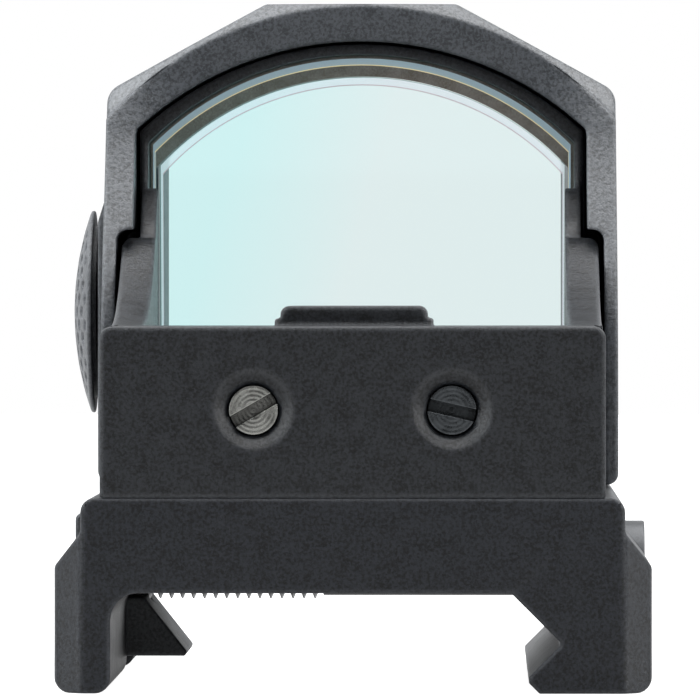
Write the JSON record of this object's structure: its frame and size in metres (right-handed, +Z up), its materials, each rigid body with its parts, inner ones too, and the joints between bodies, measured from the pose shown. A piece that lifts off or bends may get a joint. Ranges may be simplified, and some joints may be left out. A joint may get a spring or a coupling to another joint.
{
  "type": "reflex red dot sight",
  "caption": "Compact open reflex sight with a tinted lens under a metal hood, a knurled brightness dial and a screw clamp for a grooved accessory rail.",
  "frame": {"origin": "centre of the clamp's rail seat, the flat face that rests on the rail's top", "axes": "+X to the right of a user looking through the sight, +Y towards the target along the rail, +Z up away from the rail"},
  "size_m": [0.0314, 0.046, 0.0365],
  "materials": {
    "clamp_black": "blasted black anodising",
    "housing_black": "blasted black anodising",
    "hood_black": "blasted black anodising",
    "jaw_black": "black phosphate",
    "dial_black": "black anodising",
    "black_steel": "black oxide",
    "bright_steel": "turned",
    "slider_steel": "milled",
    "contact_brass": "plated",
    "seal_rubber": "matt",
    "bond_black": "cured adhesive",
    "lens_glass": "coated, pale cyan",
    "window_glass": "clear",
    "board_green": "solder mask",
    "led_clear": "clear resin",
    "cell_steel": "nickel plated"
  },
  "bodies": {
    "sight": {"mount_base": "clamp_black", "sight_body": "housing_black", "protective_hood": "hood_black", "mount_screws": "black_steel", "hood_screws": "black_steel", "jaw_springs": "bright_steel", "locating_pins": "bright_steel", "windage_spring": "bright_steel", "elevation_spring": "bright_steel", "board_screws": "bright_steel", "detent_leaf": "bright_steel", "battery_contact": "contact_brass", "battery_leaf": "contact_brass", "battery_seal": "seal_rubber", "lens_bond": "bond_black", "lens_rear": "lens_glass", "lens_front": "lens_glass", "emitter_window": "window_glass", "circuit_board": "board_green", "switch_board": "board_green", "battery": "cell_steel"},
    "dial": {"brightness_dial": "dial_black", "dial_shaft": "bright_steel", "wiper_disc": "contact_brass", "dial_clip": "black_steel", "dial_oring": "seal_rubber"},
    "windage_drive": {"windage_screw": "bright_steel"},
    "windage_nut": {"windage_slider": "slider_steel"},
    "elevation_drive": {"elevation_screw": "bright_steel"},
    "elevation_nut": {"elevation_slider": "slider_steel"},
    "emitter": {"emitter_carriage": "contact_brass", "led_emitter": "led_clear"},
    "left_lock": {"lock_screw_left": "bright_steel"},
    "right_lock": {"lock_screw_right": "bright_steel"},
    "clamp_bolt": {"cross_bolt": "black_steel"},
    "jaw": {"clamp_jaw": "jaw_black"}
  },
  "joints": [
    {"name": "dial_turn", "type": "hinge", "parent": "sight", "child": "dial", "pos_m": [-0.0146, 0.017, 0.01435], "axis": [-1, 0, 0], "range_deg": [0, 330]},
    {"name": "windage_turn", "type": "hinge", "parent": "sight", "child": "windage_drive", "pos_m": [0.0125, -0.0112, 0.0094], "axis": [1, 0, 0], "range_deg": [-360, 360]},
    {"name": "windage_shift", "type": "slide", "parent": "sight", "child": "windage_nut", "axis": [-1, 0, 0], "range_m": [-0.00035, 0.00035]},
    {"name": "elevation_turn", "type": "hinge", "parent": "sight", "child": "elevation_drive", "pos_m": [0, -0.0112, 0.0146], "axis": [0, 0, 1], "range_deg": [-360, 360]},
    {"name": "elevation_shift", "type": "slide", "parent": "sight", "child": "elevation_nut", "axis": [0, 0, -1], "range_m": [-0.00035, 0.00035], "deforming": ["elevation_spring"]},
    {"name": "emitter_shift", "type": "slide", "parent": "elevation_nut", "child": "emitter", "axis": [-1, 0, 0], "range_m": [-0.00036, 0.00036], "deforming": ["windage_spring"]},
    {"name": "left_lock_turn", "type": "hinge", "parent": "sight", "child": "left_lock", "pos_m": [-0.0051, -0.0186, 0.0094], "axis": [0, -1, 0], "range_deg": [0, 90]},
    {"name": "right_lock_turn", "type": "hinge", "parent": "sight", "child": "right_lock", "pos_m": [0.0051, -0.0186, 0.0094], "axis": [0, -1, 0], "range_deg": [0, 90]},
    {"name": "bolt_turn", "type": "hinge", "parent": "sight", "child": "clamp_bolt", "pos_m": [0.0154, 0.006, 0.00055], "axis": [1, 0, 0], "range_deg": [0, 1080]},
    {"name": "jaw_slide", "type": "slide", "parent": "sight", "child": "jaw", "axis": [-1, 0, 0], "range_m": [0, 0.0018], "deforming": ["jaw_springs"]}
  ],
  "couplings": [
    {"joint": "windage_turn", "follows": "windage_shift", "rad_per_m": 17952},
    {"joint": "emitter_shift", "follows": "windage_shift", "ratio": 1},
    {"joint": "elevation_turn", "follows": "elevation_shift", "rad_per_m": 17952},
    {"joint": "bolt_turn", "follows": "jaw_slide", "rad_per_m": 10472}
  ]
}
